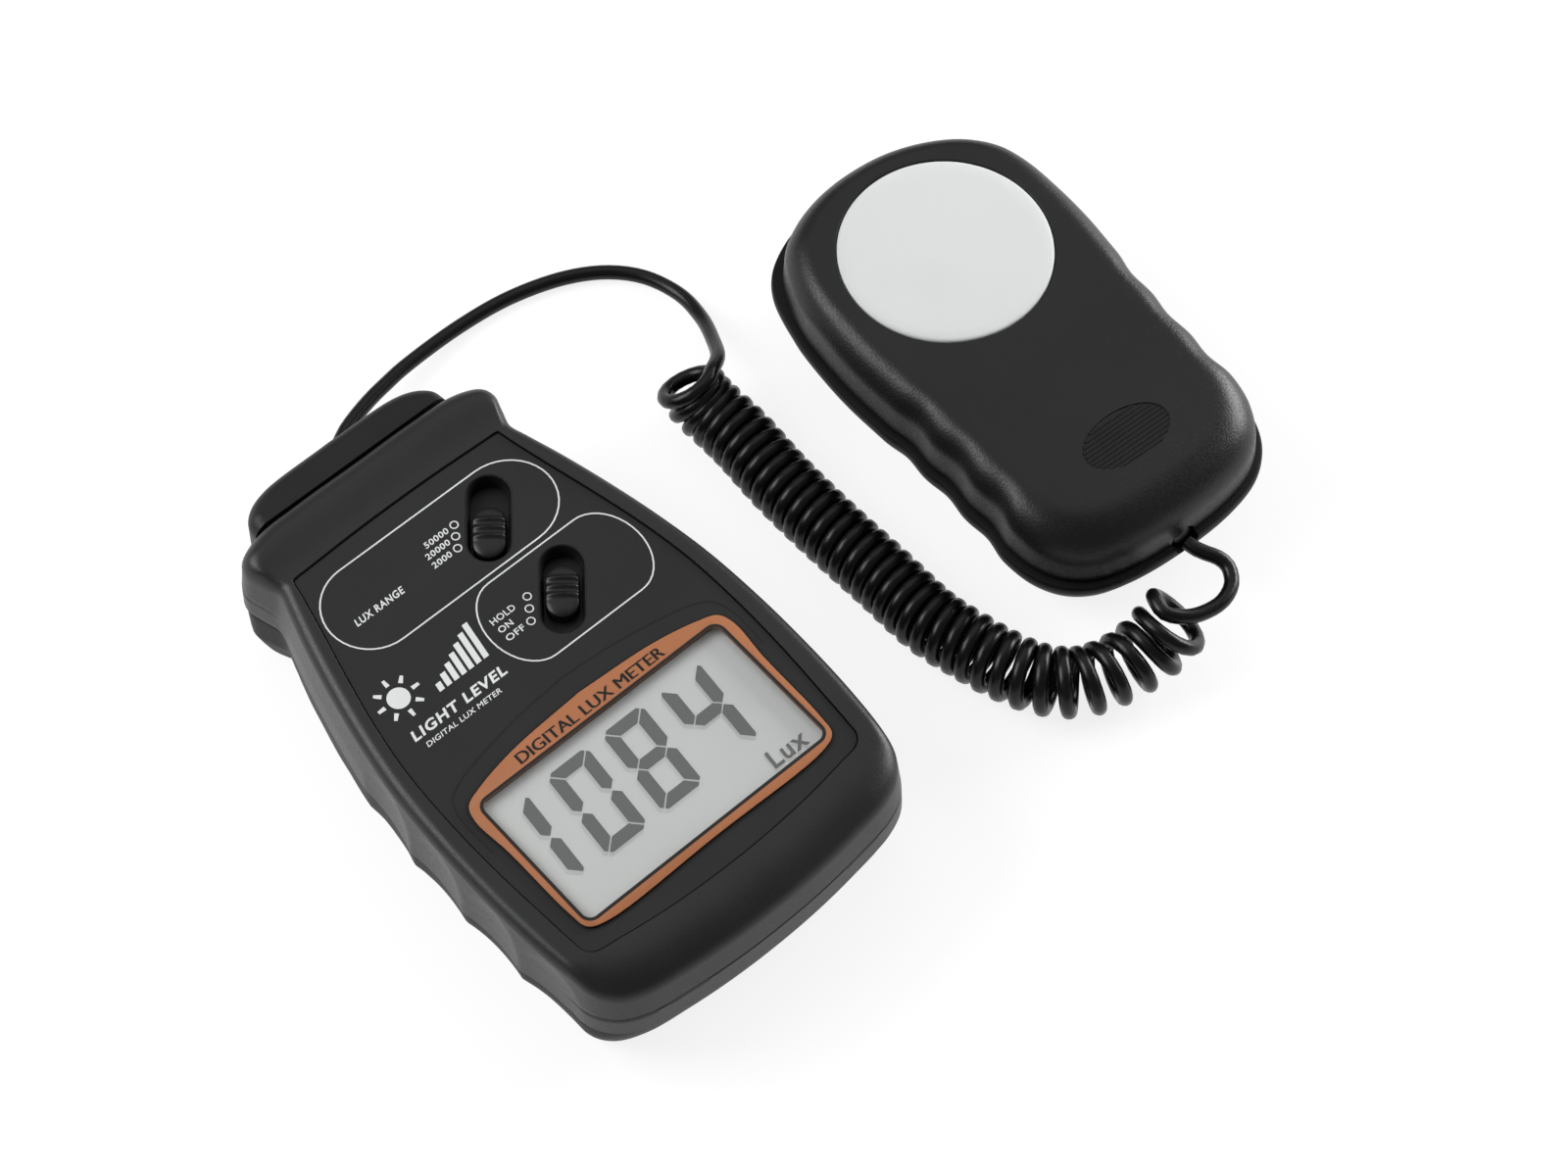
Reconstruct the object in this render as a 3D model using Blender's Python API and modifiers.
"""Handheld light meter with a separate sensor head on a curly cord.

The meter lies on its flat back with its long axis along +Y and its display up (+Z). The origin is on
the table under the middle of the meter. The sensor head lies beside it, towards +X.
"""
import math

import bmesh
import bpy
from mathutils import Matrix, Vector

MM = 0.001
GAP = 0.3  # clearance between touching pieces, mm

# ---- meter: driving heights, mm above the table ------------------------------------------------
FACE_Z = 28.0
PARTING_Z = 13.7
PANEL_FLOOR_Z = 26.7
CEILING_Z = 24.8
BACK_FLOOR_Z = 2.2
# The rear shell's tapered wall, from under its parting edge to the flat back: inset and z, mm.
BACK_PROFILE = [(1.3, 9.2), (2.5, 6.2), (3.4, 4.2), (4.3, 2.4), (5.2, 1.1), (6.3, 0.3), (7.6, 0.0)]
BOARD_Z = (20.6, 22.2)
WALL = 2.3
RIDGE_RISE = 1.2

# Half outlines from the bottom end to the crown end: case edge x, y, then face panel edge x, y, mm.
METER_STATIONS = [
    (0.0, -59.2, 0.0, -48.7),
    (9.0, -58.95, 8.0, -48.5),
    (18.0, -58.1, 16.0, -47.9),
    (25.5, -56.9, 23.5, -46.9),
    (30.0, -54.8, 27.6, -46.2),
    (32.8, -51.4, 29.0, -44.8),
    (34.1, -46.5, 29.4, -42.3),
    (35.2, -38.0, 29.9, -36.0),
    (35.7, -27.0, 30.6, -25.0),
    (35.7, -15.0, 30.8, -13.5),
    (35.0, -2.5, 30.3, -2.0),
    (33.5, 8.0, 28.9, 8.0),
    (31.4, 18.5, 26.8, 18.0),
    (28.9, 28.6, 24.4, 28.0),
    (26.9, 35.4, 22.8, 35.0),
    (25.9, 39.3, 22.2, 38.0),
    (26.8, 43.2, 22.0, 38.55),
    (27.5, 46.2, 21.3, 38.7),
    (26.6, 48.6, 19.0, 38.8),
    (23.6, 50.2, 16.5, 38.9),
    (12.0, 51.0, 8.5, 39.2),
    (0.0, 51.0, 0.0, 39.3),
]
GRIP_PITCH = 13.93
GRIP_FIRST_Y = -0.5
GRIP_DEPTH = 0.6
GRIP_COUNT = 4

# ---- meter: display, switches, battery, mm -----------------------------------------------------
WINDOW = (50.2, 27.2)
WINDOW_Y = -27.9
SLOT_ANGLE = math.radians(39.0)
SLOT_HALF_TRAVEL = 4.55  # half the distance between a slot's two end centres
SLOT_WIDTH = 6.6
KNOB_WIDTH = 5.8
KNOB_LENGTH = 9.8
SWITCH_STEP = 2.3
RANGE_SWITCH = (10.1, 26.5)
POWER_SWITCH = (10.6, 7.9)
BATTERY_SIZE = (26.5, 48.5, 17.5)
BATTERY_CENTRE = (0.0, -26.2, 10.85)
BAY = (-13.9, 13.9, -51.0, 3.4)
COVER_HALF_WIDTH = 15.6
COVER_TOP_Y = 4.5
COVER_Z = 1.6
CASE_SCREWS = [(-22.0, -48.5), (22.0, -48.5), (-18.4, 43.0), (18.4, 43.0)]
BOARD_SCREWS = [(-24.0, 2.0), (24.0, 2.0), (-18.8, 34.6), (18.8, 34.6)]

# ---- crown: the end cap that the cord leaves through, mm ---------------------------------------
CROWN_OUTLINE = [(0.0, 58.2), (14.6, 57.7), (18.5, 56.2), (20.5, 53.8), (21.0, 51.3)]
CROWN_TOP_Z = 26.5
METER_EXIT = (-7.0, 9.0)  # x and z of the cord's way out through the crown

# ---- sensor head: own frame with the diffuser's centre at the origin, mm -----------------------
SENSOR_ORIGIN = (105.6, 17.1)
SENSOR_TURN = math.radians(-3.6)
SENSOR_PARTING_Z = 13.0
SENSOR_TOP_Z = 24.8
HEAD_LEAN = 1.7
DIFFUSER_RADIUS = 19.0
# Half outlines from the diffuser end to the cord end: shell edge x, y, then flat top's edge x, y.
SENSOR_STATIONS = [
    (0.0, 26.3, 0.0, 21.0),
    (8.0, 25.5, 6.5, 20.4),
    (15.0, 23.1, 12.0, 18.5),
    (20.5, 19.5, 16.4, 15.4),
    (24.3, 14.2, 19.3, 11.2),
    (26.3, 8.0, 20.8, 6.5),
    (27.1, 0.0, 21.3, 0.0),
    (27.2, -8.0, 21.2, -8.0),
    (26.6, -16.0, 20.6, -16.0),
    (25.9, -24.0, 20.0, -24.0),
    (25.5, -33.0, 19.5, -32.5),
    (25.4, -43.0, 19.0, -42.0),
    (25.5, -50.0, 18.4, -48.0),
    (24.5, -55.1, 17.0, -51.5),
    (21.9, -59.6, 14.6, -54.0),
    (17.6, -62.9, 11.4, -55.4),
    (10.6, -64.9, 7.0, -56.2),
    (0.0, -65.6, 0.0, -56.5),
]
SENSOR_GRIP_PITCH = 10.6
SENSOR_GRIP_FIRST_Y = -22.3
SENSOR_GRIP_DEPTH = 0.7
SENSOR_GRIP_COUNT = 3
SENSOR_SCREWS = [(-16.5, -46.0), (16.5, -46.0), (-16.0, 15.3), (14.7, 15.3)]
# The lower shell's lip and tapered wall, from under its parting edge to the flat back: inset and z, mm.
SENSOR_BACK_PROFILE = [
    (-0.9, 12.4), (-0.9, 11.0), (0.0, 8.8), (1.1, 6.8), (2.3, 4.8), (3.7, 2.8), (5.0, 1.3), (6.2, 0.4),
    (7.4, 0.0),
]

# ---- cord, mm --------------------------------------------------------------------------------
CORD_DIAMETER = 2.7
COIL_DIAMETER = 12.7
LEAD_ROUTE = [
    (-7.0, 59.85, 9.0), (-6.9, 60.6, 8.8), (-6.3, 61.9, 8.0), (-5.0, 63.1, 7.0), (-2.2, 64.1, 6.0),
    (1.6, 65.0, 5.2), (5.8, 66.2, 4.9), (10.2, 68.6, 4.8), (17.0, 70.9, 4.3), (22.2, 72.1, 3.7),
    (26.5, 72.9, 3.2), (39.9, 73.9, 1.8), (51.0, 72.9, 1.45), (61.2, 69.6, 1.45), (67.9, 65.3, 1.45),
    (72.1, 59.9, 1.6), (74.1, 52.7, 2.1), (73.1, 45.7, 3.6), (70.6, 40.3, 6.6), (68.4, 36.9, 9.4),
]
COIL_ROUTE = [
    (60.1, 33.2, 10.4), (60.3, 29.3, 7.6), (60.6, 23.5, 6.4), (60.3, 14.5, 6.4), (59.9, 5.0, 6.4),
    (59.9, -4.0, 6.4), (60.4, -16.9, 6.4), (60.8, -29.5, 6.4), (62.4, -36.6, 6.4), (64.1, -42.8, 6.4),
    (66.9, -49.2, 6.4), (71.5, -54.2, 6.4), (78.3, -56.8, 6.4), (84.2, -57.3, 6.9), (88.4, -57.3, 8.7),
]
TAIL_ROUTE = [
    (90.9, -60.8, 10.6), (94.5, -61.0, 11.3), (98.4, -60.9, 11.5), (101.8, -59.5, 11.6),
    (103.6, -56.9, 11.8), (103.3, -54.8, 12.5), (102.3, -52.9, 12.95), (101.7, -51.7, 13.1),
    (101.33, -50.6, 13.15),
]

# ---- materials: colour, roughness, metallic ----------------------------------------------------
FINISHES = {
    "case_black": ((0.030, 0.032, 0.031), 0.45, 0.0),
    "panel_black": ((0.033, 0.035, 0.034), 0.55, 0.0),
    "bezel_orange": ((0.50, 0.20, 0.10), 0.45, 0.0),
    "clear": ((0.85, 0.87, 0.86), 0.05, 0.0),
    "lcd_grey": ((0.52, 0.54, 0.52), 0.30, 0.0),
    "white_plastic": ((0.75, 0.76, 0.75), 0.45, 0.0),
    "board_green": ((0.02, 0.14, 0.06), 0.45, 0.0),
    "chip_black": ((0.02, 0.02, 0.02), 0.35, 0.0),
    "steel": ((0.55, 0.55, 0.56), 0.30, 1.0),
    "elastomer": ((0.35, 0.12, 0.18), 0.70, 0.0),
    "battery_blue": ((0.03, 0.08, 0.20), 0.35, 0.3),
    "foam": ((0.10, 0.10, 0.10), 0.95, 0.0),
    "rubber_black": ((0.018, 0.018, 0.019), 0.50, 0.0),
    "wire_red": ((0.45, 0.02, 0.02), 0.50, 0.0),
    "filter_green": ((0.10, 0.32, 0.16), 0.10, 0.0),
    "silicon_blue": ((0.03, 0.04, 0.12), 0.15, 0.2),
}


def clear_scene():
    for obj in list(bpy.data.objects):
        bpy.data.objects.remove(obj, do_unlink=True)


def collection(name):
    made = bpy.data.collections.new(name)
    bpy.context.scene.collection.children.link(made)
    return made


def finish(name):
    mat = bpy.data.materials.get(name)
    if mat is None:
        colour, roughness, metallic = FINISHES[name]
        mat = bpy.data.materials.new(name)
        mat.use_nodes = True
        shader = mat.node_tree.nodes["Principled BSDF"]
        shader.inputs["Base Color"].default_value = (*colour, 1.0)
        shader.inputs["Roughness"].default_value = roughness
        shader.inputs["Metallic"].default_value = metallic
        mat.diffuse_color = (*colour, 1.0)
    return mat


def smoothstep(low, high, value):
    t = min(1.0, max(0.0, (value - low) / (high - low)))
    return t * t * (3.0 - 2.0 * t)


def mix(a, b, t):
    return a + (b - a) * t


# ---- curves through hand-chosen points ---------------------------------------------------------
def curve_point(p0, p1, p2, p3, t):
    """A point between p1 and p2 on a centripetal Catmull-Rom curve."""
    knots = [0.0]
    for a, b in ((p0, p1), (p1, p2), (p2, p3)):
        knots.append(knots[-1] + max(1e-6, (b - a).length) ** 0.5)
    k0, k1, k2, k3 = knots
    k = mix(k1, k2, t)
    a1 = p0 * ((k1 - k) / (k1 - k0)) + p1 * ((k - k0) / (k1 - k0))
    a2 = p1 * ((k2 - k) / (k2 - k1)) + p2 * ((k - k1) / (k2 - k1))
    a3 = p2 * ((k3 - k) / (k3 - k2)) + p3 * ((k - k2) / (k3 - k2))
    b1 = a1 * ((k2 - k) / (k2 - k0)) + a2 * ((k - k0) / (k2 - k0))
    b2 = a2 * ((k3 - k) / (k3 - k1)) + a3 * ((k - k1) / (k3 - k1))
    return b1 * ((k2 - k) / (k2 - k1)) + b2 * ((k - k1) / (k2 - k1))


def through(points, counts):
    """Points along the open curve through the given ones, counts[i] steps in stretch i."""
    first = points[0] * 2.0 - points[1]
    last = points[-1] * 2.0 - points[-2]
    padded = [first, *points, last]
    out = []
    for i, count in enumerate(counts):
        for j in range(count):
            out.append(curve_point(*padded[i:i + 4], j / count))
    out.append(points[-1].copy())
    return out


def route(points, spacing):
    """The smooth curve through a cord's route, in metres, with a point about every spacing mm."""
    knots = [Vector(p) for p in points]
    counts = [max(1, round((b - a).length / spacing)) for a, b in zip(knots, knots[1:])]
    return [p * MM for p in through(knots, counts)]


def closed_outlines(stations, spacing):
    """Both outlines of a symmetric shell, as matched closed lists of 2D points."""
    outlines = []
    outer = [Vector((s[0], s[1])) for s in stations]
    inner = [Vector((s[2], s[3])) for s in stations]
    counts = [max(1, round((b - a).length / spacing)) for a, b in zip(outer, outer[1:])]
    for points in (outer, inner):
        mirrored = [Vector((-points[1].x, points[1].y)), *points, Vector((-points[-2].x, points[-2].y))]
        half = []
        for i, count in enumerate(counts):
            for j in range(count):
                half.append(curve_point(*mirrored[i:i + 4], j / count))
        half.append(points[-1].copy())
        outlines.append(half + [Vector((-p.x, p.y)) for p in reversed(half[1:-1])])
    return outlines


def grip_wave(y, first, pitch, count, depth):
    """How far the finger grips pull the wall in at y: shallow scallops along the long sides."""
    last = first - pitch * (count - 1)
    if y > first + pitch / 2 or y < last - pitch / 2:
        return 0.0
    return depth * 0.5 * (1.0 + math.cos(2.0 * math.pi * (y - first) / pitch))


# ---- making objects ----------------------------------------------------------------------------
def add_object(name, mesh, material, where, smooth=True):
    obj = bpy.data.objects.new(name, mesh)
    where.objects.link(obj)
    if material:
        mesh.materials.append(finish(material))
    if smooth:
        mesh.shade_smooth()
        mesh.set_sharp_from_angle(angle=math.radians(35))
    return obj


def loft(name, rings, material, where):
    """A closed body through matched rings of 3D points in mm, capped at its first and last ring."""
    bm = bmesh.new()
    rows = [[bm.verts.new(Vector(p) * MM) for p in ring] for ring in rings]
    count = len(rows[0])
    for low, high in zip(rows, rows[1:]):
        for i in range(count):
            j = (i + 1) % count
            bm.faces.new((low[i], low[j], high[j], high[i]))
    bm.faces.new(rows[0])
    bm.faces.new(list(reversed(rows[-1])))
    bmesh.ops.recalc_face_normals(bm, faces=bm.faces)
    mesh = bpy.data.meshes.new(name)
    bm.to_mesh(mesh)
    bm.free()
    return add_object(name, mesh, material, where)


def plate(name, outline, low, high, material, where):
    """A flat outline in mm, extruded from z low to z high."""
    bm = bmesh.new()
    face = bm.faces.new([bm.verts.new((x * MM, y * MM, low * MM)) for x, y in outline])
    side = bmesh.ops.extrude_face_region(bm, geom=[face])
    raised = [v for v in side["geom"] if isinstance(v, bmesh.types.BMVert)]
    bmesh.ops.translate(bm, verts=raised, vec=(0.0, 0.0, (high - low) * MM))
    bmesh.ops.recalc_face_normals(bm, faces=bm.faces)
    mesh = bpy.data.meshes.new(name)
    bm.to_mesh(mesh)
    bm.free()
    return add_object(name, mesh, material, where)


def block(name, x, y, z, material, where, bevel=0.0):
    """A box between two x, two y and two z values in mm."""
    bm = bmesh.new()
    bmesh.ops.create_cube(bm, size=1.0)
    size = Vector((x[1] - x[0], y[1] - y[0], z[1] - z[0])) * MM
    middle = Vector((x[0] + x[1], y[0] + y[1], z[0] + z[1])) * (MM / 2)
    bmesh.ops.transform(bm, matrix=Matrix.Diagonal((*size, 1.0)), verts=bm.verts)
    mesh = bpy.data.meshes.new(name)
    bm.to_mesh(mesh)
    bm.free()
    obj = add_object(name, mesh, material, where)
    obj.location = middle
    if bevel:
        edge = obj.modifiers.new("edge", "BEVEL")
        edge.width = bevel * MM
        edge.segments = 2
    return obj


def turned(name, profile, sides, material, where):
    """A solid of revolution about Z from (radius, z) pairs in mm, first and last on the axis."""
    bm = bmesh.new()
    verts = [bm.verts.new((r * MM, 0.0, z * MM)) for r, z in profile]
    edges = [bm.edges.new(pair) for pair in zip(verts, verts[1:])]
    bmesh.ops.spin(
        bm, geom=verts + edges, cent=(0, 0, 0), axis=(0, 0, 1), angle=2 * math.pi, steps=sides,
        use_merge=True,
    )
    bmesh.ops.remove_doubles(bm, verts=bm.verts, dist=1e-6)
    bmesh.ops.recalc_face_normals(bm, faces=bm.faces)
    mesh = bpy.data.meshes.new(name)
    bm.to_mesh(mesh)
    bm.free()
    return add_object(name, mesh, material, where)


def tube(name, points, diameter, material, where, fine=2):
    """A round cord through points in metres, as a curve object."""
    curve = bpy.data.curves.new(name, "CURVE")
    curve.dimensions = "3D"
    curve.bevel_depth = diameter * MM / 2
    curve.bevel_resolution = fine
    curve.use_fill_caps = True
    spline = curve.splines.new("POLY")
    spline.points.add(len(points) - 1)
    for knot, p in zip(spline.points, points):
        knot.co = (*p, 1.0)
    curve.materials.append(finish(material))
    obj = bpy.data.objects.new(name, curve)
    where.objects.link(obj)
    return obj


def cut(obj, cutter, operation="DIFFERENCE"):
    tool = obj.modifiers.new(cutter.name, "BOOLEAN")
    tool.operation = operation
    tool.solver = "EXACT"
    tool.object = cutter
    cutter.hide_render = True
    cutter.display_type = "WIRE"


def stadium(centre, angle, half_length, width, arc_steps=8):
    """A slot outline with round ends; half_length runs from the middle to an end's centre."""
    axis = Vector((math.sin(angle), math.cos(angle)))
    across = Vector((axis.y, -axis.x))
    points = []
    for end in (1, -1):
        for i in range(arc_steps + 1):
            turn = math.pi * i / arc_steps
            offset = across * (math.cos(turn) * end) + axis * (math.sin(turn) * end)
            points.append(Vector(centre) + axis * (half_length * end) + offset * (width / 2))
    return [(p.x, p.y) for p in points]


def inset_ring(outer, inner, inset, z):
    """A ring moved in from the outer outline towards the inner one by inset mm, at height z."""
    ring = []
    for p, q in zip(outer, inner):
        way = q - p
        moved = p + way * (inset(p) / way.length)
        ring.append((moved.x, moved.y, z(p)))
    return ring


def same(value):
    return lambda _p: value


# ---- meter shells ------------------------------------------------------------------------------
def roll_size(p):
    """Width and height of the rounded edge between the face and the wall at outline point p."""
    width, height = 2.4, 2.6
    bottom = smoothstep(-46.0, -56.0, p.y)
    shoulder = smoothstep(38.0, 45.0, p.y)
    top = smoothstep(27.0, 18.0, abs(p.x)) * smoothstep(47.5, 50.5, p.y)
    width = mix(mix(mix(width, 8.0, bottom), 4.2, shoulder), 4.2, top)
    height = mix(mix(mix(height, 4.5, bottom), 4.2, shoulder), 2.4, top)
    return width, height


def ridge(y):
    """Rise of the shoulder band above the face plane."""
    return RIDGE_RISE * smoothstep(39.3, 47.0, y)


def grip_outline(outer):
    return [
        Vector((math.copysign(abs(p.x) - grip_wave(
            p.y, GRIP_FIRST_Y, GRIP_PITCH, GRIP_COUNT, GRIP_DEPTH), p.x), p.y)) for p in outer
    ]


def front_case(parts, cutters):
    outer, panel = closed_outlines(METER_STATIONS, 3.4)
    outer = grip_outline(outer)
    rings = [
        inset_ring(outer, panel, same(0.0), same(PARTING_Z)),
        inset_ring(outer, panel, same(0.25), same(19.0)),
    ]
    for step in range(5):
        turn = math.radians(22.5 * step)
        rings.append(inset_ring(
            outer, panel,
            lambda p, turn=turn: 0.95 + roll_size(p)[0] * (1.0 - math.cos(turn)),
            lambda p, turn=turn: FACE_Z - roll_size(p)[1] * (1.0 - math.sin(turn)),
        ))
    rim = rings[-1]
    for share in (0.33, 0.67):
        rings.append([
            (mix(x, q.x, share), mix(y, q.y, share), FACE_Z) for (x, y, _z), q in zip(rim, panel)
        ])
    rings.append([(q.x, q.y, FACE_Z) for q in panel])
    rings = [
        [(x, y, z + ridge(y) * smoothstep(FACE_Z - 8.0, FACE_Z, z)) for x, y, z in ring]
        for ring in rings
    ]
    rings.append([(q.x, q.y, PANEL_FLOOR_Z) for q in panel])
    rings.reverse()
    rings += [
        inset_ring(outer, panel, same(WALL - 0.1), same(PARTING_Z)),
        inset_ring(outer, panel, same(WALL), same(20.0)),
        inset_ring(outer, panel, same(3.2), same(23.6)),
        [(q.x, q.y, CEILING_Z) for q in panel],
    ]
    case = loft("front_case", rings, "case_black", parts)
    for i, (x, y) in enumerate(CASE_SCREWS):
        post = turned(
            f"front_post_{i}", [(0, 14.1), (3.0, 14.1), (3.0, 25.6), (0, 25.6)], 16, None, cutters)
        post.location = (x * MM, y * MM, 0.0)
        cut(case, post, "UNION")
        bore = turned(
            f"front_bore_{i}", [(0, 12.0), (1.4, 12.0), (1.4, 22.0), (0, 22.0)], 12, None, cutters)
        bore.location = post.location
        cut(case, bore)
    for i, (x, y) in enumerate(BOARD_SCREWS):
        post = turned(
            f"board_post_{i}", [(0, 22.5), (2.6, 22.5), (2.6, 25.2), (0, 25.2)], 14, None, cutters)
        post.location = (x * MM, y * MM, 0.0)
        cut(case, post, "UNION")
        bore = turned(
            f"board_bore_{i}", [(0, 22.0), (1.15, 22.0), (1.15, 24.6), (0, 24.6)], 10, None, cutters)
        bore.location = post.location
        cut(case, bore)
    window = block(
        "case_window", (-26.0, 26.0), (WINDOW_Y - 15.6, WINDOW_Y + 15.6), (23.0, 28.0), None, cutters)
    cut(case, window)
    for name, centre in (("range", RANGE_SWITCH), ("power", POWER_SWITCH)):
        outline = stadium(centre, SLOT_ANGLE, SLOT_HALF_TRAVEL, SLOT_WIDTH)
        slot = plate(f"case_slot_{name}", outline, 23.0, 28.5, None, cutters)
        cut(case, slot)
    cut(case, cable_notch(cutters))
    return case


def cable_notch(cutters):
    """The way from the crown into the case, across the parting line."""
    notch = bpy.data.objects.get("cable_notch")
    if notch is None:
        x = METER_EXIT[0]
        notch = block("cable_notch", (x - 3.0, x + 3.0), (46.0, 54.0), (6.0, 14.5), None, cutters)
    return notch


def side_ease(p):
    """How much less the rear wall tapers along the sides than at the foot."""
    side = smoothstep(20.0, 28.0, abs(p.x)) * smoothstep(-58.0, -50.0, p.y)
    return side * (0.7 + 1.8 * smoothstep(-25.0, 35.0, p.y))


def rear_rings(edge_inset, edge_z):
    """Outer rings of the rear shell from its parting edge down to its flat back."""
    outer, panel = closed_outlines(METER_STATIONS, 3.4)
    outer = grip_outline(outer)
    rings = [inset_ring(outer, panel, same(edge_inset), same(edge_z))]
    for inset, z in BACK_PROFILE:
        rings.append(
            inset_ring(outer, panel, lambda p, inset=inset: max(0.35, inset - side_ease(p)), same(z)))
    return outer, panel, rings


def rear_case(parts, cutters):
    edge_z = PARTING_Z - GAP
    outer, panel, rings = rear_rings(0.35, edge_z)
    rings.reverse()
    rings += [
        inset_ring(outer, panel, same(WALL + 0.1), same(edge_z)),
        inset_ring(outer, panel, same(3.2), same(9.0)),
        inset_ring(outer, panel, same(5.2), same(4.5)),
        inset_ring(outer, panel, same(8.2), same(BACK_FLOOR_Z)),
    ]
    case = loft("rear_case", rings, "case_black", parts)
    low_x, high_x, low_y, high_y = BAY
    frame = block(
        "bay_frame", (low_x - 4, high_x + 4), (low_y - 2.0, high_y + 3.5), (1.0, 4.2), None, cutters)
    cut(case, frame, "UNION")
    for i, (x, y) in enumerate(CASE_SCREWS):
        post = turned(f"rear_post_{i}", [(0, 1.5), (3.6, 1.5), (3.6, 13.2), (0, 13.2)], 16, None, cutters)
        post.location = (x * MM, y * MM, 0.0)
        cut(case, post, "UNION")
        bore = turned(
            f"rear_bore_{i}",
            [(0, -1), (2.8, -1), (2.8, 3.3), (1.5, 3.3), (1.5, 15.0), (0, 15.0)], 14, None, cutters)
        bore.location = post.location
        cut(case, bore)
    bay = block("battery_bay", (low_x, high_x), (low_y, high_y), (-1.0, 6.0), None, cutters)
    cut(case, bay)
    pocket = block(
        "cover_pocket", (-COVER_HALF_WIDTH - GAP, COVER_HALF_WIDTH + GAP), (-70.0, COVER_TOP_Y + GAP),
        (-1.0, COVER_Z + GAP), None, cutters)
    cut(case, pocket)
    cut(case, cable_notch(cutters))
    return case


def battery_cover(parts, cutters):
    """The sliding cover: the part of the back's outer form inside the cover pocket."""
    _outer, _panel, rings = rear_rings(0.35, PARTING_Z - GAP)
    rings.reverse()
    cover = loft("battery_cover", rings, "case_black", parts)
    keep = block(
        "cover_block", (-COVER_HALF_WIDTH, COVER_HALF_WIDTH), (-70.0, COVER_TOP_Y), (-1.0, COVER_Z),
        None, cutters)
    cut(cover, keep, "INTERSECT")
    for i in range(4):
        y = -46.0 + 2.4 * i
        rib = block(f"cover_groove_{i}", (-7.0, 7.0), (y, y + 1.1), (-1.0, 0.5), None, cutters)
        cut(cover, rib)
    return cover


def crown_cap(parts, cutters):
    half = [Vector(p) for p in CROWN_OUTLINE]
    outline = through(half, [5, 3, 2, 1])
    outline += [Vector((-p.x, p.y)) for p in reversed(outline[1:])]

    def ring(inset, z):
        points = []
        for p in outline:
            end = inset * smoothstep(52.2, 57.2, p.y)
            points.append((p.x * (1.0 - inset / CROWN_OUTLINE[-1][0]), p.y - end, z))
        return points

    rings = [ring(2.5, 1.2), ring(0.9, 2.4), ring(0.2, 5.0), ring(0.0, 12.0), ring(0.3, 22.5)]
    for step in range(1, 5):
        turn = math.radians(22.5 * step)
        rings.append(ring(0.3 + 3.0 * (1 - math.cos(turn)), CROWN_TOP_Z - 3.2 * (1 - math.sin(turn))))
    crown = loft("crown_cap", rings, "case_black", parts)
    hollow = block("crown_hollow", (-16.0, 16.0), (50.0, 55.6), (4.0, 21.5), None, cutters)
    cut(crown, hollow)
    exit_hole = round_bar("crown_exit", [(0, 53.0), (2.7, 53.0), (2.7, 60.0), (0, 60.0)], 16, None, cutters)
    cut(crown, exit_hole)
    return crown


def round_bar(name, profile, sides, material, where):
    """A turned solid whose axis runs along +Y through the meter's cord exit."""
    bar = turned(name, profile, sides, material, where)
    bar.matrix_world = Matrix.Translation((METER_EXIT[0] * MM, 0.0, METER_EXIT[1] * MM)) @ \
        Matrix.Rotation(-math.pi / 2, 4, "X")
    return bar


def meter_grommet(parts):
    """A bush with a flange inside the crown, and a short tapered nose around the cord."""
    profile = [
        (0.0, 53.4), (3.6, 53.4), (3.6, 55.2), (2.4, 55.2), (2.4, 58.6), (2.1, 59.2), (1.5, 59.5),
        (0.0, 59.5),
    ]
    return round_bar("cord_grommet", profile, 16, "rubber_black", parts)


# ---- meter: face, display, switches ------------------------------------------------------------
def face_panel(parts, cutters):
    outer, panel = closed_outlines(METER_STATIONS, 3.4)
    outline = [(p.x, p.y) for p in (q + (q - o).normalized() * 0.3 for o, q in zip(outer, panel))]
    sheet = plate("face_panel", outline, PANEL_FLOOR_Z + GAP, 27.6, "panel_black", parts)
    half_x, half_y = WINDOW[0] / 2 + GAP, WINDOW[1] / 2 + GAP
    window = block(
        "panel_window", (-half_x, half_x), (WINDOW_Y - half_y, WINDOW_Y + half_y), (26.0, 29.0),
        None, cutters)
    cut(sheet, window)
    for name, centre in (("range", RANGE_SWITCH), ("power", POWER_SWITCH)):
        outline = stadium(centre, SLOT_ANGLE, SLOT_HALF_TRAVEL, 8.0)
        slot = plate(f"panel_slot_{name}", outline, 26.0, 29.0, None, cutters)
        cut(sheet, slot)
    return sheet


def display_bezel(parts, cutters):
    """The coloured frame around the window: arched at the top, thin at the sides and the bottom."""
    half = [
        (0.0, -9.05), (15.0, -10.1), (23.5, -11.9), (26.5, -13.2), (27.5, -16.0), (26.95, -24.0),
        (26.35, -38.5), (25.7, -42.3), (22.5, -43.7), (0.0, -43.9),
    ]
    points = through([Vector(p) for p in half], [4, 3, 2, 2, 2, 2, 2, 2, 2])
    outline = [(p.x, p.y) for p in points] + [(-p.x, p.y) for p in reversed(points[1:-1])]
    frame = plate("display_bezel", outline, 27.9, 28.2, "bezel_orange", parts)
    half_x, half_y = WINDOW[0] / 2 + GAP, WINDOW[1] / 2 + GAP
    window = block(
        "bezel_window", (-half_x, half_x), (WINDOW_Y - half_y, WINDOW_Y + half_y), (26.0, 30.0),
        None, cutters)
    cut(frame, window)
    return frame


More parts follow.
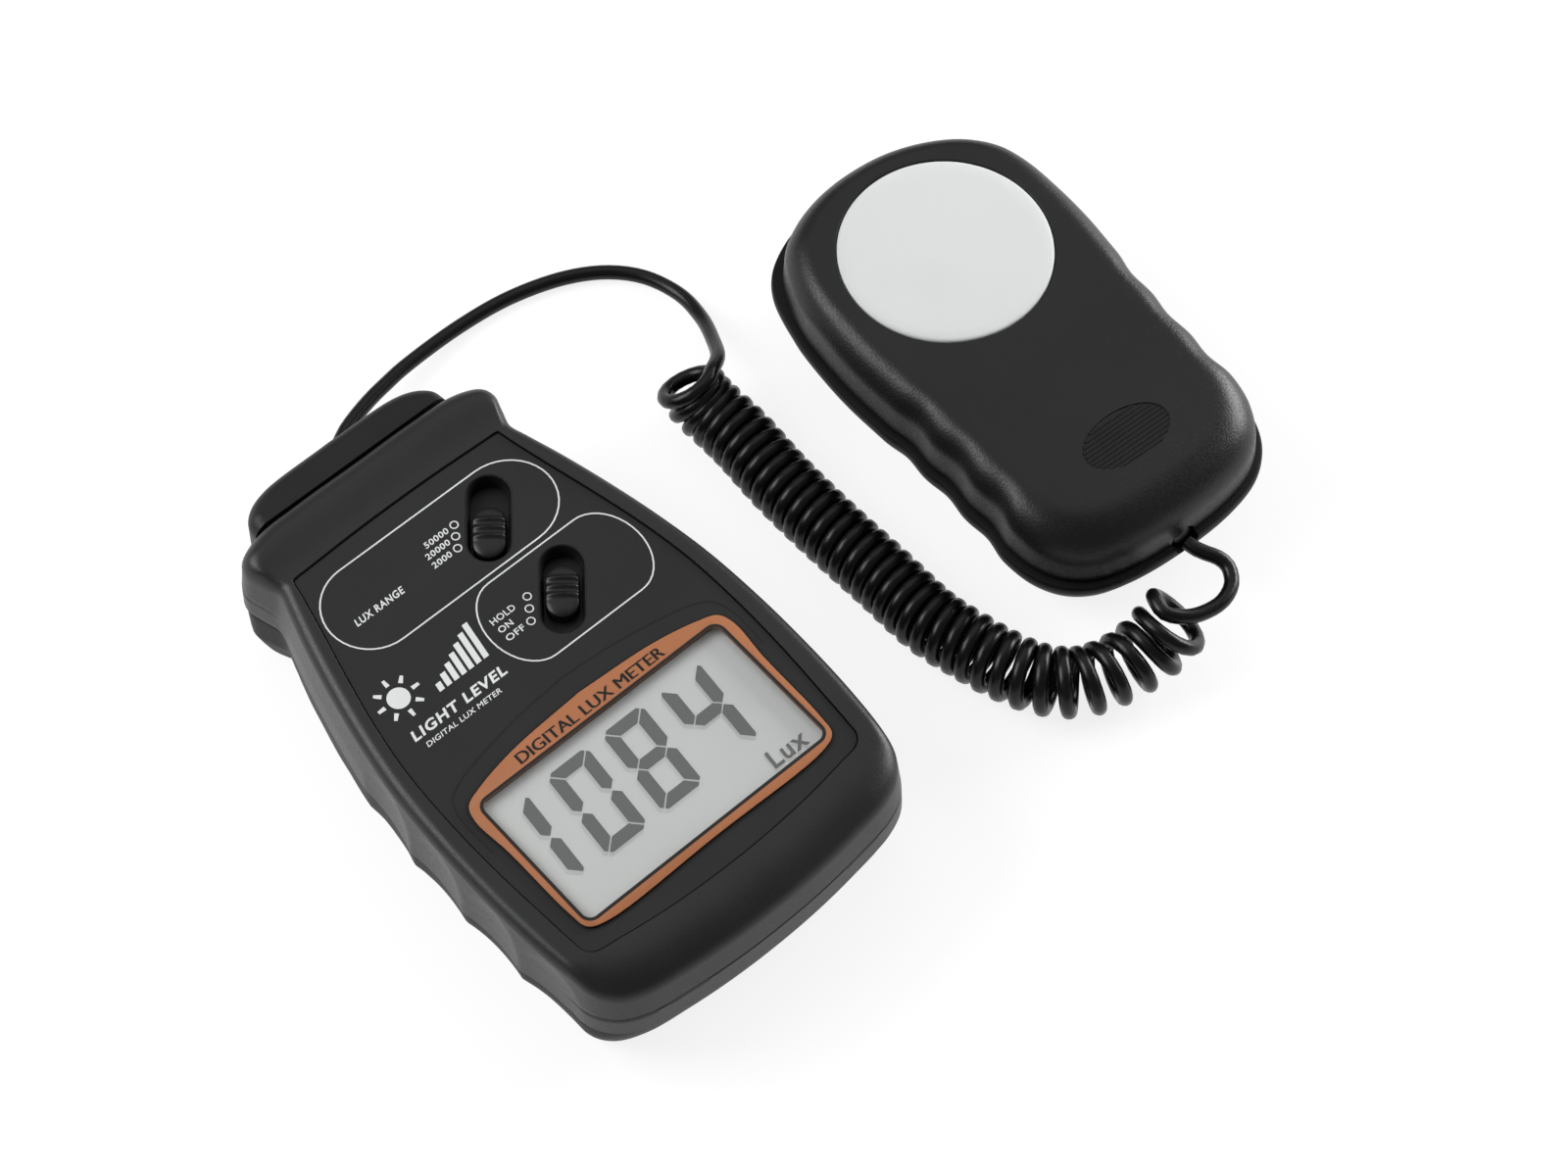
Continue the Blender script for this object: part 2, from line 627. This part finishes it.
def display_stack(parts, cutters):
    half_x, half_y = WINDOW[0] / 2, WINDOW[1] / 2
    around_y = (WINDOW_Y - half_y, WINDOW_Y + half_y)
    block("display_window", (-half_x, half_x), around_y, (27.0, 27.7), "clear", parts)
    block("lcd_panel", (-25.6, 25.6), (WINDOW_Y - 15.2, WINDOW_Y + 15.2), (24.7, 26.6), "lcd_grey", parts)
    holder = block("lcd_holder", (-27.0, 27.0), (-44.9, -10.9), (22.5, 24.4), "white_plastic", parts)
    hole = block(
        "holder_hole", (-23.5, 23.5), (WINDOW_Y - 13.0, WINDOW_Y + 13.0), (20.0, 26.0), None, cutters)
    cut(holder, hole)
    for name, y in (("upper", WINDOW_Y + 11.4), ("lower", WINDOW_Y - 11.4)):
        block(f"zebra_strip_{name}", (-22.0, 22.0), (y - 1.1, y + 1.1), (22.5, 24.4), "elastomer", parts)


def slide_knob(name, centre, parts):
    """A ribbed thumb slide in its slot; its origin is at the middle of the knob at rest."""
    outline = stadium((0.0, 0.0), SLOT_ANGLE, (KNOB_LENGTH - KNOB_WIDTH) / 2, KNOB_WIDTH)
    knob = plate(name, outline, 24.7 - FACE_Z, -0.5, "case_black", parts)
    knob.location = (centre[0] * MM, centre[1] * MM, FACE_Z * MM)
    edge = knob.modifiers.new("edge", "BEVEL")
    edge.width = 0.7 * MM
    edge.segments = 2
    edge.angle_limit = math.radians(50)
    return knob


def switches(parts):
    along = Vector((math.sin(SLOT_ANGLE), math.cos(SLOT_ANGLE)))
    low_end = Vector(RANGE_SWITCH) - along * SWITCH_STEP
    slide_knob("range_knob", low_end, parts)
    slide_knob("power_knob", Vector(POWER_SWITCH), parts)
    for name, centre in (("range", RANGE_SWITCH), ("power", POWER_SWITCH)):
        body = block(f"{name}_switch", (-3.6, 3.6), (-6.2, 6.2), (22.5, 24.4), "steel", parts)
        body.location = (centre[0] * MM, centre[1] * MM, 23.45 * MM)
        body.rotation_euler = (0.0, 0.0, -SLOT_ANGLE)


# ---- meter: inside -----------------------------------------------------------------------------
def electronics(parts, cutters):
    outline = [
        (-26.5, -45.0), (26.5, -45.0), (27.5, -12.0), (25.5, 8.0), (20.6, 38.0), (-20.6, 38.0),
        (-25.5, 8.0), (-27.5, -12.0),
    ]
    board = plate("main_board", outline, *BOARD_Z, "board_green", parts)
    for i, (x, y) in enumerate(BOARD_SCREWS):
        bore = turned(f"board_hole_{i}", [(0, 19), (1.3, 19), (1.3, 24), (0, 24)], 10, None, cutters)
        bore.location = (x * MM, y * MM, 0.0)
        cut(board, bore)
        profile = [(0, 19.0), (1.7, 19.0), (2.1, 19.6), (2.1, 20.3), (0.8, 20.3), (0.8, 24.2), (0, 24.2)]
        screw = turned(f"board_screw_{i + 1}", profile, 10, "steel", parts)
        screw.location = bore.location
    block("converter_chip", (-13.5, -2.5), (16.0, 29.0), (22.5, 24.2), "chip_black", parts, 0.15)
    for i, y in enumerate((4.0, 11.0)):
        block(f"trim_pot_{i + 1}", (-15.0, -10.5), (y, y + 4.5), (22.5, 24.3), "silicon_blue", parts, 0.2)
    capacitor = turned(
        "filter_capacitor", [(0, 11.0), (2.7, 11.0), (3.0, 11.4), (3.0, 20.3), (0, 20.3)], 14,
        "chip_black", parts)
    capacitor.location = (12.0 * MM, 22.0 * MM, 0.0)


def power_supply(parts, cutters):
    centre, size = Vector(BATTERY_CENTRE), Vector(BATTERY_SIZE)
    low, high = centre - size / 2, centre + size / 2
    block("battery", (low.x, high.x), (low.y, high.y), (low.z, high.z), "battery_blue", parts, 1.2)
    block(
        "battery_snap", (-12.6, 12.6), (high.y + GAP, high.y + 3.6), (low.z + 1.0, high.z - 1.0),
        "chip_black", parts, 0.6)
    block("foam_pad", (-10.0, 10.0), (-46.0, -6.0), (19.9, 20.35), "foam", parts)
    for name, x, colour in (
            ("battery_lead_plus", 5.0, "wire_red"), ("battery_lead_minus", -5.0, "chip_black")):
        points = [
            (x, 2.3, 12.0), (x, 5.0, 12.6), (x * 1.1, 8.0, 15.5), (x * 1.2, 10.0, 18.4),
            (x * 1.2, 10.4, 20.0),
        ]
        tube(name, route(points, 2.6), 1.3, colour, parts)
    profile = [(0, 1.1), (2.3, 1.1), (2.3, 2.0), (1.1, 3.0), (1.1, 19.5), (0, 19.5)]
    for i, (x, y) in enumerate(CASE_SCREWS):
        screw = turned(f"case_screw_{i + 1}", profile, 12, "steel", parts)
        screw.location = (x * MM, y * MM, 0.0)


# ---- sensor head -------------------------------------------------------------------------------
def sensor_outlines():
    outer, top = closed_outlines(SENSOR_STATIONS, 3.4)
    outer = [
        Vector((math.copysign(abs(p.x) - grip_wave(
            p.y, SENSOR_GRIP_FIRST_Y, SENSOR_GRIP_PITCH, SENSOR_GRIP_COUNT, SENSOR_GRIP_DEPTH), p.x), p.y))
        for p in outer
    ]
    return [leaned(p) for p in outer], [leaned(p) for p in top]


def leaned(p):
    """The disc end of the head leans a little towards the meter."""
    return Vector((p.x - HEAD_LEAN * smoothstep(12.0, 25.0, p.y), p.y))


def sensor_bar(name, profile, sides, material, where):
    """A turned solid whose axis runs along the sensor's own -Y at its parting height."""
    bar = turned(name, profile, sides, material, where)
    bar.rotation_euler = (math.pi / 2, 0.0, 0.0)
    bar.location = (0.0, 0.0, (SENSOR_PARTING_Z + GAP / 2) * MM)
    return bar


def sensor_upper_shell(parts, cutters):
    outer, top = sensor_outlines()

    def rolled(turn):
        ring = []
        for p, q in zip(outer, top):
            reach = (q - p).length
            inset = 0.7 + (reach - 0.7) * (1.0 - math.cos(turn))
            height = mix(6.5, 8.0, smoothstep(-48.0, -60.0, p.y))
            moved = p + (q - p) * (inset / reach)
            ring.append((moved.x, moved.y, SENSOR_TOP_Z - height * (1.0 - math.sin(turn))))
        return ring

    rings = [inset_ring(outer, top, same(0.4), same(SENSOR_PARTING_Z + GAP))]
    rings += [rolled(math.radians(18.0 * step)) for step in range(6)]
    rings.reverse()
    rings += [
        inset_ring(outer, top, same(2.3), same(SENSOR_PARTING_Z + GAP)),
        inset_ring(outer, top, same(2.5), same(17.5)),
        inset_ring(outer, top, same(4.2), same(20.8)),
        [(mix(o.x, q.x, 0.93), mix(o.y, q.y, 0.93), 22.5) for o, q in zip(outer, top)],
    ]
    shell = loft("sensor_upper_shell", rings, "case_black", parts)
    hole = turned("diffuser_hole", [(0, 20), (19.3, 20), (19.3, 27), (0, 27)], 48, None, cutters)
    cut(shell, hole)
    for i, (x, y) in enumerate(SENSOR_SCREWS):
        post = turned(
            f"sensor_post_{i}", [(0, 13.6), (2.4, 13.6), (2.4, 23.1), (0, 23.1)], 12, None, cutters)
        post.location = (x * MM, y * MM, 0.0)
        cut(shell, post, "UNION")
        bore = turned(
            f"sensor_bore_{i}", [(0, 12.0), (1.2, 12.0), (1.2, 19.0), (0, 19.0)], 10, None, cutters)
        bore.location = post.location
        cut(shell, bore)
    cut(shell, sensor_exit(cutters))
    return shell


def sensor_exit(cutters):
    hole = bpy.data.objects.get("sensor_exit")
    if hole is None:
        hole = sensor_bar(
            "sensor_exit", [(0, 57.0), (2.6, 57.0), (2.6, 70.0), (0, 70.0)], 16, None, cutters)
    return hole


def lipped(inset):
    """The lower shell stands a little prouder around the disc end."""
    return lambda p: inset - 0.7 * smoothstep(8.0, 17.0, p.y)


def sensor_lower_shell(parts, cutters):
    outer, top = sensor_outlines()
    rings = [inset_ring(outer, top, same(-0.5), same(SENSOR_PARTING_Z))]
    rings += [inset_ring(outer, top, lipped(inset), same(z)) for inset, z in SENSOR_BACK_PROFILE]
    rings.reverse()
    rings += [
        inset_ring(outer, top, same(2.3), same(SENSOR_PARTING_Z)),
        inset_ring(outer, top, same(2.8), same(8.0)),
        inset_ring(outer, top, same(4.4), same(4.6)),
        inset_ring(outer, top, same(6.4), same(2.4)),
    ]
    shell = loft("sensor_lower_shell", rings, "case_black", parts)
    for i, (x, y) in enumerate(SENSOR_SCREWS):
        post = turned(f"lower_post_{i}", [(0, 1.2), (2.9, 1.2), (2.9, 12.6), (0, 12.6)], 12, None, cutters)
        post.location = (x * MM, y * MM, 0.0)
        cut(shell, post, "UNION")
        bore = turned(
            f"lower_bore_{i}", [(0, -1), (2.3, -1), (2.3, 3.4), (1.3, 3.4), (1.3, 14), (0, 14)], 12,
            None, cutters)
        bore.location = post.location
        cut(shell, bore)
    cut(shell, sensor_exit(cutters))
    return shell


def sensor_inside(parts, cutters):
    dome = [(0.0, 23.2), (DIFFUSER_RADIUS - 0.3, 23.2), (DIFFUSER_RADIUS, 23.5), (DIFFUSER_RADIUS, 24.6)]
    dome += [(DIFFUSER_RADIUS * math.cos(math.radians(a)), 24.6 + 0.5 * math.sin(math.radians(a)))
             for a in (25, 50, 70)]
    dome.append((0.0, 25.1))
    turned("diffuser_disc", dome, 48, "white_plastic", parts)
    seat = turned(
        "diffuser_seat", [(0, 18.6), (18.3, 18.6), (18.3, 22.9), (0, 22.9)], 32, "chip_black", parts)
    hollow = turned("seat_hollow", [(0, 18), (16.6, 18), (16.6, 24), (0, 24)], 32, None, cutters)
    cut(seat, hollow)
    block("sensor_board", (-14.0, 14.0), (-22.0, 11.5), (9.5, 11.1), "board_green", parts)
    block("photodiode", (-5.6, 5.6), (-5.6, 5.6), (11.4, 13.7), "silicon_blue", parts, 0.3)
    turned("colour_filter", [(0, 14.0), (5.2, 14.0), (5.2, 16.0), (0, 16.0)], 24, "filter_green", parts)
    turned_baffle = turned(
        "filter_holder", [(0, 11.4), (8.4, 11.4), (8.4, 17.4), (0, 17.4)], 24, "chip_black", parts)
    core = block("holder_core", (-6.0, 6.0), (-6.0, 6.0), (10.0, 16.4), None, cutters)
    cut(turned_baffle, core)
    mouth = turned("holder_mouth", [(0, 13.8), (5.6, 13.8), (5.6, 19.0), (0, 19.0)], 24, None, cutters)
    cut(turned_baffle, mouth)
    block("signal_connector", (-4.0, 4.0), (-21.0, -15.0), (11.4, 15.4), "white_plastic", parts, 0.3)
    profile = [(0, 1.5), (1.9, 1.5), (1.9, 3.1), (0.95, 3.1), (0.95, 17.5), (0, 17.5)]
    for i, (x, y) in enumerate(SENSOR_SCREWS):
        screw = turned(f"sensor_screw_{i + 1}", profile, 12, "steel", parts)
        screw.location = (x * MM, y * MM, 0.0)
    bush = [
        (0.0, 58.0), (3.4, 58.0), (3.4, 60.0), (2.3, 60.0), (2.3, 65.9), (2.2, 66.2), (1.8, 67.4),
        (0.0, 67.4),
    ]
    sensor_bar("sensor_grommet", bush, 16, "rubber_black", parts)


def place_sensor(made):
    """Hang every sensor piece and its cutters from one empty at the diffuser's centre."""
    frame = bpy.data.objects.new("sensor_frame", None)
    bpy.context.scene.collection.objects.link(frame)
    for obj in made:
        obj.parent = frame
    frame.location = (SENSOR_ORIGIN[0] * MM, SENSOR_ORIGIN[1] * MM, 0.0)
    frame.rotation_euler = (0.0, 0.0, SENSOR_TURN)


# ---- cord --------------------------------------------------------------------------------
def cord(parts):
    tube("cord_lead", route(LEAD_ROUTE, 5.5), CORD_DIAMETER, "rubber_black", parts)
    tube("cord_coil", route(COIL_ROUTE, 5.0), COIL_DIAMETER, "rubber_black", parts, fine=4)
    tube("cord_tail", route(TAIL_ROUTE, 4.0), CORD_DIAMETER, "rubber_black", parts)


def main():
    clear_scene()
    parts = collection("light_meter")
    cutters = collection("cutters")
    front_case(parts, cutters)
    rear_case(parts, cutters)
    battery_cover(parts, cutters)
    crown_cap(parts, cutters)
    meter_grommet(parts)
    face_panel(parts, cutters)
    display_bezel(parts, cutters)
    display_stack(parts, cutters)
    switches(parts)
    electronics(parts, cutters)
    power_supply(parts, cutters)
    before = set(bpy.data.objects)
    sensor_upper_shell(parts, cutters)
    sensor_lower_shell(parts, cutters)
    sensor_inside(parts, cutters)
    place_sensor([obj for obj in bpy.data.objects if obj not in before])
    cord(parts)


main()
